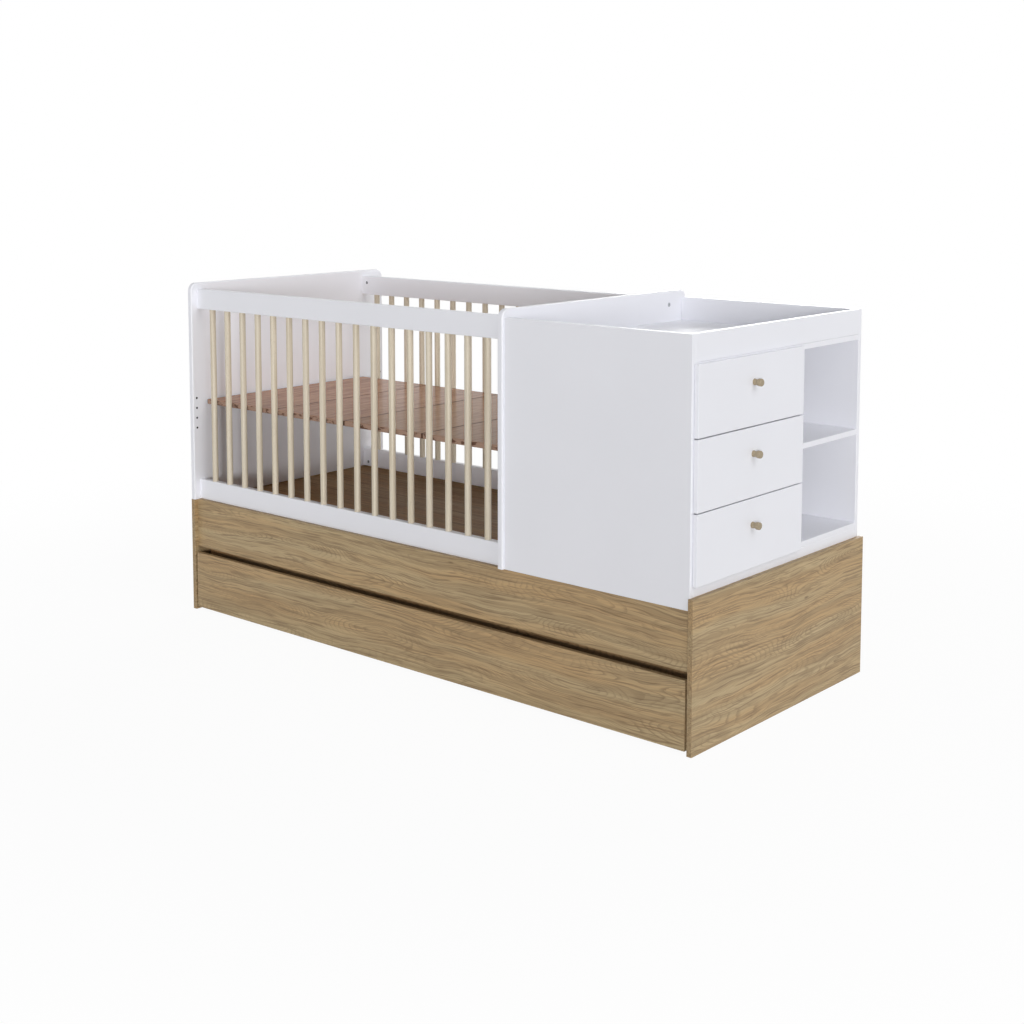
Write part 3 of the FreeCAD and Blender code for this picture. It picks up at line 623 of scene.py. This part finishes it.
def deselect_all():
    if bpy.context.mode != "OBJECT":
        bpy.ops.object.mode_set(mode="OBJECT")
    bpy.ops.object.select_all(action="DESELECT")


def choose(pieces):
    """Selects these objects alone, the last of them active."""
    deselect_all()
    for piece in pieces:
        piece.select_set(True)
    bpy.context.view_layer.objects.active = pieces[-1]


def edit_edges(piece, chosen):
    """Enters edit mode with only the edges that the test picks selected."""
    choose([piece])
    bpy.ops.object.mode_set(mode="EDIT")
    bpy.ops.mesh.select_mode(type="EDGE")
    bpy.ops.mesh.select_all(action="DESELECT")
    mesh = bmesh.from_edit_mesh(piece.data)
    for edge in mesh.edges:
        edge.select_set(chosen(edge))
    bmesh.update_edit_mesh(piece.data)


def model_screw(sizes):
    """A pan-head screw's head with a cross recess: it stands on the origin and points up."""
    deselect_all()
    height = sizes.head_height
    rounding = height * 0.62
    bpy.ops.mesh.primitive_cylinder_add(vertices=SCREW_SIDES, radius=sizes.head_radius, depth=height,
                                        location=(0.0, 0.0, height / 2))
    screw = bpy.context.active_object
    bpy.ops.object.transform_apply(location=True, rotation=True, scale=True)
    edit_edges(screw, lambda edge: all(corner.co.z > height / 2 for corner in edge.verts))
    bpy.ops.mesh.bevel(offset=rounding, segments=4, profile=0.5, affect="EDGES")
    bpy.ops.object.mode_set(mode="OBJECT")
    for turn in (0.0, math.pi / 2):
        deselect_all()
        bpy.ops.mesh.primitive_cube_add(size=1.0, location=(0.0, 0.0, height), rotation=(0.0, 0.0, turn))
        cutter = bpy.context.active_object
        cutter.scale = (sizes.slot_length, sizes.slot_width, sizes.slot_depth * 2)
        bpy.ops.object.transform_apply(location=True, rotation=True, scale=True)
        choose([screw])
        cut = screw.modifiers.new("Recess", "BOOLEAN")
        cut.operation = "DIFFERENCE"
        cut.object = cutter
        bpy.ops.object.modifier_apply(modifier=cut.name)
        bpy.data.objects.remove(cutter)
    choose([screw])
    bpy.ops.object.shade_smooth_by_angle(angle=SMOOTH_ANGLE)
    return screw


def pull_face(piece, pick, inset, reach):
    """Insets a piece's lowest or highest face, picked with min or max, and pulls it along the height."""
    choose([piece])
    bpy.ops.object.mode_set(mode="EDIT")
    bpy.ops.mesh.select_mode(type="FACE")
    bpy.ops.mesh.select_all(action="DESELECT")
    mesh = bmesh.from_edit_mesh(piece.data)
    pick(mesh.faces, key=lambda face: face.calc_center_median().z).select_set(True)
    bmesh.update_edit_mesh(piece.data)
    bpy.ops.mesh.inset(thickness=inset, depth=0.0)
    bpy.ops.mesh.extrude_region_move(TRANSFORM_OT_translate={"value": (0.0, 0.0, reach)})
    bpy.ops.object.mode_set(mode="OBJECT")


def model_sleeve(sizes):
    """A small cup that lines a blind hole: its thin rim stands on the origin's level and it reaches down."""
    deselect_all()
    bpy.ops.mesh.primitive_cylinder_add(vertices=SLEEVE_SIDES, radius=sizes.rim_radius,
                                        depth=sizes.rim_height, location=(0.0, 0.0, sizes.rim_height / 2))
    sleeve = bpy.context.active_object
    bpy.ops.object.transform_apply(location=True, rotation=True, scale=True)
    overlap = sizes.rim_radius - sizes.radius
    pull_face(sleeve, min, overlap, -sizes.depth)
    pull_face(sleeve, max, overlap + sizes.wall, sizes.wall - sizes.depth - sizes.rim_height)
    choose([sleeve])
    bpy.ops.object.shade_smooth_by_angle(angle=SMOOTH_ANGLE)
    return sleeve


def set_copies(model, name, places, body, material):
    """Copies a modelled fitting to each place, joins the copies and lets the piece ride on its body."""
    copies = []
    for point, way in places:
        choose([model])
        bpy.ops.object.duplicate()
        copy = bpy.context.active_object
        copy.location = point
        copy.rotation_euler = Vector(way).to_track_quat("Z", "Y").to_euler()
        bpy.ops.object.transform_apply(location=True, rotation=True, scale=True)
        copies.append(copy)
    choose(copies)
    if len(copies) > 1:
        bpy.ops.object.join()
    piece = bpy.context.active_object
    piece.name = name
    piece.data.name = name
    piece.data.materials.clear()
    piece.data.materials.append(material)
    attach(piece, body)


def settings():
    return bpy.context.scene.crib


class CRIB_OT_dress_white_boards(bpy.types.Operator):
    """Lacquers the crib panels, the rails, the chest and the drawer fronts white"""

    bl_idname = "crib.dress_white_boards"
    bl_label = "White Boards"

    def execute(self, context):
        dress(WHITE_BOARDS, white_lacquer(settings().colours))
        return {"FINISHED"}


class CRIB_OT_dress_oak_boards(bpy.types.Operator):
    """Covers the base, the deck and the trundle with oak-look laminate along each board's grain"""

    bl_idname = "crib.dress_oak_boards"
    bl_label = "Oak Boards"

    def execute(self, context):
        colours = settings().colours
        grain = settings().grain
        plain = (NO_TINT, grain.oak_sheen)
        deck = (colours.deck_tone, grain.deck_sheen)
        looks = {"deck_crib_panel": deck, "deck_chest_panel": deck,
                 "trundle_long_walls": (colours.wall_tone, grain.oak_sheen)}
        for number, (name, layout) in enumerate(OAK_BOARDS.items()):
            tone, sheen = looks.get(name, plain)
            seed = OAK_SEED_STEP * number
            dress([name], oak_laminate("oak_" + name, colours, grain, layout, seed, tone, sheen))
        return {"FINISHED"}


class CRIB_OT_dress_beech(bpy.types.Operator):
    """Gives the dowels and the drawer knobs clear-sealed beech"""

    bl_idname = "crib.dress_beech"
    bl_label = "Dowels and Knobs"

    def execute(self, context):
        colours = settings().colours
        low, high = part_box("crib_front_dowels")
        thick = high.y - low.y
        pitch = (high.x - low.x - thick) / (settings().grain.dowel_count - 1)
        dress(["crib_front_dowels", "crib_back_dowels"],
              turned_beech("beech_dowel", colours.beech_light, colours.beech_dark, "z",
                           low.x + thick / 2 - pitch / 2, pitch))
        low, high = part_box("drawer_1_knob")
        dress([drawer + "_knob" for drawer in DRAWERS],
              turned_beech("beech_knob", colours.knob_light, colours.knob_dark, "x", low.y, high.y - low.y))
        return {"FINISHED"}


class CRIB_OT_dress_platform(bpy.types.Operator):
    """Gives the mattress platform its brown planks and battens"""

    bl_idname = "crib.dress_platform"
    bl_label = "Mattress Platform"

    def execute(self, context):
        colours = settings().colours
        low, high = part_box("platform_planks")
        grain = settings().grain
        gap = grain.plank_gap
        length = high.x - low.x
        pitch = (length + gap) / grain.plank_count
        dress(["platform_planks"],
              brown_plank("brown_plank", colours, "yxz", low.x - gap / 2, pitch, grain.plank_seed,
                          grain.plank_sheen))
        # The battens are one piece, so their only joints would lie a platform's length past both ends.
        dress(["platform_battens"],
              brown_plank("brown_batten", colours, "xyz", low.x - length, 3 * length, grain.plank_seed,
                          grain.plank_sheen))
        return {"FINISHED"}


class CRIB_OT_dress_inner_boards(bpy.types.Operator):
    """Gives the drawer boxes, the backs, the cleats and the bearers their plain boards"""

    bl_idname = "crib.dress_inner_boards"
    bl_label = "Inner Boards"

    def execute(self, context):
        colours = settings().colours
        dress(["chest_back_board"] + [drawer + "_bottom" for drawer in DRAWERS],
              white_sheet("white_hardboard", colours.hardboard, 0.50))
        dress([drawer + part for drawer in DRAWERS for part in ("_sides", "_back")],
              white_sheet("white_melamine", colours.melamine, 0.38))
        dress(["deck_cleats"], planed_pine("pine_cleat", colours, "xyz"))
        dress(["deck_bearers"], planed_pine("pine_bearer", colours, "yxz"))
        return {"FINISHED"}


class CRIB_OT_dress_fittings(bpy.types.Operator):
    """Gives the bolts, nuts, runners, brackets and casters their metal and nylon"""

    bl_idname = "crib.dress_fittings"
    bl_label = "Fittings"

    def execute(self, context):
        colours = settings().colours
        dress(STEEL_FITTINGS, zinc_plate("zinc_plate", colours.zinc))
        dress(["crib_barrel_nuts"], zinc_plate("dull_zinc", colours.dull_zinc))
        dress(WHEELS, black_nylon_and_hole_shade(colours))
        return {"FINISHED"}


class CRIB_OT_add_screws(bpy.types.Operator):
    """Models one pan-head screw and sets copies behind the knobs and along the drawer runners"""

    bl_idname = "crib.add_screws"
    bl_label = "Knob and Runner Screws"

    def execute(self, context):
        sizes = settings().screws
        material = bpy.data.materials["zinc_plate"]
        model = model_screw(sizes)
        for drawer in DRAWERS:
            knob_low, knob_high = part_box(drawer + "_knob")
            front_low, front_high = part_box(drawer + "_front")
            knob_middle = (knob_low + knob_high) / 2
            set_copies(model, drawer + "_knob_screw",
                       [((front_low.x, knob_middle.y, knob_middle.z), (-1.0, 0.0, 0.0))],
                       drawer, material)
            side_low, side_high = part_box(drawer + "_sides")
            runner_low, runner_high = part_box(drawer + "_runners")
            plate = sizes.runner_plate
            middle_z = (runner_low.z + runner_high.z) / 2
            row = (runner_low.x + sizes.runner_inset, (runner_low.x + runner_high.x) / 2,
                   runner_high.x - sizes.runner_inset)
            places = [((x, side_low.y - plate, middle_z), (0.0, -1.0, 0.0)) for x in row]
            places += [((x, side_high.y + plate, middle_z), (0.0, 1.0, 0.0)) for x in row]
            set_copies(model, drawer + "_runner_screws", places, drawer, material)
        bpy.data.objects.remove(model)
        return {"FINISHED"}


class CRIB_OT_add_sleeves(bpy.types.Operator):
    """Models one dark sleeve and sets copies in the small holes of both crib panels; the sleeve's black is
    painted shade inside the holes
    """

    bl_idname = "crib.add_sleeves"
    bl_label = "Hole Sleeves"

    def execute(self, context):
        sizes = settings().sleeves
        model = model_sleeve(sizes)
        middle_y = (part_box("crib_front_bottom_rail")[1].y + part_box("crib_back_bottom_rail")[0].y) / 2
        for panel, side, way in (("crib_left_panel", 1, 1.0), ("crib_partition", 0, -1.0)):
            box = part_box(panel)
            face_x = box[side].x
            foot = box[0].z
            places = []
            for row_y in (box[0].y + sizes.row_setback, box[1].y - sizes.row_setback):
                for number in range(sizes.row_count):
                    places.append((face_x, row_y, foot + sizes.row_lift + number * sizes.row_pitch))
            for half in (-sizes.foot_spacing / 2, sizes.foot_spacing / 2):
                places.append((face_x, middle_y + half, foot + sizes.foot_lift))
            # The sleeves take the black nylon finish: painted shade that makes each small hole show as a
            # dark dot.
            set_copies(model, panel + "_sleeves", [(place, (way, 0.0, 0.0)) for place in places],
                       "frame", bpy.data.materials["black_nylon_and_hole_shade"])
        bpy.data.objects.remove(model)
        return {"FINISHED"}


class CRIB_OT_build_stage(bpy.types.Operator):
    """Sets up the pale floor, the soft lamps, the white surroundings and the camera"""

    bl_idname = "crib.build_stage"
    bl_label = "Studio"

    def execute(self, context):
        stage = settings().stage
        scene = context.scene
        scene.view_settings.view_transform = "Standard"
        self.lay_floor(stage)
        self.light_world(scene, stage)
        self.hang_lamp("low_lamp", stage.low_light, stage.low_way, stage.low_width)
        self.hang_lamp("back_lamp", stage.back_light, stage.back_way, stage.back_width)
        self.hang_lamp("high_lamp", stage.high_light, stage.high_way, stage.high_width)
        camera_data = bpy.data.cameras.new("camera")
        camera = bpy.data.objects.new("camera", camera_data)
        scene.collection.objects.link(camera)
        camera.location = stage.camera_place
        camera.rotation_euler = (math.pi / 2 + stage.camera_pitch, 0.0, stage.camera_heading)
        camera_data.sensor_width = SENSOR_WIDTH
        camera_data.lens = stage.camera_lens
        camera_data.shift_y = stage.camera_rise
        camera_data.clip_end = VIEW_DISTANCE
        scene.camera = camera
        return {"FINISHED"}

    def seen(self, sheet):
        """1 where the camera, a reflection or a clear material looks, and 0 for other light."""
        path = sheet.node("ShaderNodeLightPath")
        rays = [Value(sheet, path.outputs[name])
                for name in ("Is Camera Ray", "Is Glossy Ray", "Is Transmission Ray")]
        return rays[0].larger(rays[1]).larger(rays[2])

    def lay_floor(self, stage):
        """Lays a wide pale floor that keeps a faint shadow near the crib."""
        deselect_all()
        bpy.ops.mesh.primitive_plane_add(size=FLOOR_SIZE, location=(0.0, 0.0, -FLOOR_DROP))
        floor = bpy.context.active_object
        floor.name = "studio_floor"
        material = bpy.data.materials.new("studio_floor")
        material.use_nodes = True
        sheet = NodeSheet(material.node_tree)
        place = sheet.node("ShaderNodeTexCoord").outputs["Object"]
        reach = Value(sheet, sheet.node("ShaderNodeVectorMath", {"operation": "LENGTH"},
                                        {0: place}).outputs["Value"])
        glow = stage.floor_glow + reach.rise(GLOW_START, GLOW_END) * (1.0 - stage.floor_glow)
        diffuse = sheet.node("ShaderNodeBsdfDiffuse", None, {"Color": (*stage.floor_colour, 1.0)})
        white = sheet.node("ShaderNodeEmission", None, {"Color": WHITE, "Strength": 1.0})
        both = sheet.node("ShaderNodeMixShader", None,
                          {0: self.seen(sheet) * glow, 1: diffuse.outputs[0], 2: white.outputs[0]})
        sheet.node("ShaderNodeOutputMaterial", None, {"Surface": both.outputs[0]})
        floor.data.materials.append(material)

    def light_world(self, scene, stage):
        """Lights the crib evenly from all round and shows plain white behind it."""
        world = scene.world or bpy.data.worlds.new("studio")
        scene.world = world
        world.use_nodes = True
        sheet = NodeSheet(world.node_tree)
        even = sheet.node("ShaderNodeBackground", None, {"Color": WHITE, "Strength": stage.world_light})
        white = sheet.node("ShaderNodeBackground", None, {"Color": WHITE, "Strength": 1.0})
        both = sheet.node("ShaderNodeMixShader", None,
                          {0: self.seen(sheet), 1: even.outputs[0], 2: white.outputs[0]})
        sheet.node("ShaderNodeOutputWorld", None, {"Surface": both.outputs[0]})

    def hang_lamp(self, name, strength, way, width):
        """Adds a far, wide lamp that shines from a direction."""
        lamp_data = bpy.data.lights.new(name, "SUN")
        lamp_data.energy = strength
        lamp_data.angle = width
        lamp = bpy.data.objects.new(name, lamp_data)
        bpy.context.scene.collection.objects.link(lamp)
        lamp.location = way
        lamp.rotation_euler = Vector(way).to_track_quat("Z", "Y").to_euler()


class CribSettings(bpy.types.PropertyGroup):
    """Everything that can be changed about the crib's looks."""

    colours: PointerProperty(type=CribColours, name="Colours", description="Colours of the finishes")
    grain: PointerProperty(type=CribGrain, name="Grain", description="Sizes of the wood figure")
    screws: PointerProperty(type=CribScrews, name="Screws", description="Sizes of the screws")
    sleeves: PointerProperty(type=CribSleeves, name="Sleeves", description="Sizes of the hole sleeves")
    stage: PointerProperty(type=CribStage, name="Studio", description="Camera, lamps and floor")


STEPS = (
    CRIB_OT_dress_white_boards, CRIB_OT_dress_oak_boards, CRIB_OT_dress_beech, CRIB_OT_dress_platform,
    CRIB_OT_dress_inner_boards, CRIB_OT_dress_fittings, CRIB_OT_add_screws,
    CRIB_OT_add_sleeves, CRIB_OT_build_stage,
)


class CRIB_PT_steps(bpy.types.Panel):
    """Lists the steps that dress the crib"""

    bl_idname = "CRIB_PT_steps"
    bl_label = "Convertible Crib"
    bl_space_type = "VIEW_3D"
    bl_region_type = "UI"
    bl_category = "Crib"

    def draw(self, context):
        for step in STEPS:
            self.layout.operator(step.bl_idname)
        crib = settings()
        for group in (crib.colours, crib.grain, crib.screws, crib.sleeves, crib.stage):
            box = self.layout.box()
            for name in group.bl_rna.properties.keys():
                if name not in ("rna_type", "name"):
                    box.prop(group, name)


GROUPS = (CribColours, CribGrain, CribScrews, CribSleeves, CribStage, CribSettings)
CLASSES = GROUPS + STEPS + (CRIB_PT_steps,)


def register():
    for kind in CLASSES:
        bpy.utils.register_class(kind)
    bpy.types.Scene.crib = PointerProperty(type=CribSettings)


def unregister():
    del bpy.types.Scene.crib
    for kind in reversed(CLASSES):
        bpy.utils.unregister_class(kind)


def main():
    register()
    bpy.ops.crib.dress_white_boards()
    bpy.ops.crib.dress_oak_boards()
    bpy.ops.crib.dress_beech()
    bpy.ops.crib.dress_platform()
    bpy.ops.crib.dress_inner_boards()
    bpy.ops.crib.dress_fittings()
    bpy.ops.crib.add_screws()
    bpy.ops.crib.add_sleeves()
    bpy.ops.crib.build_stage()


if __name__ == "__main__":
    main()
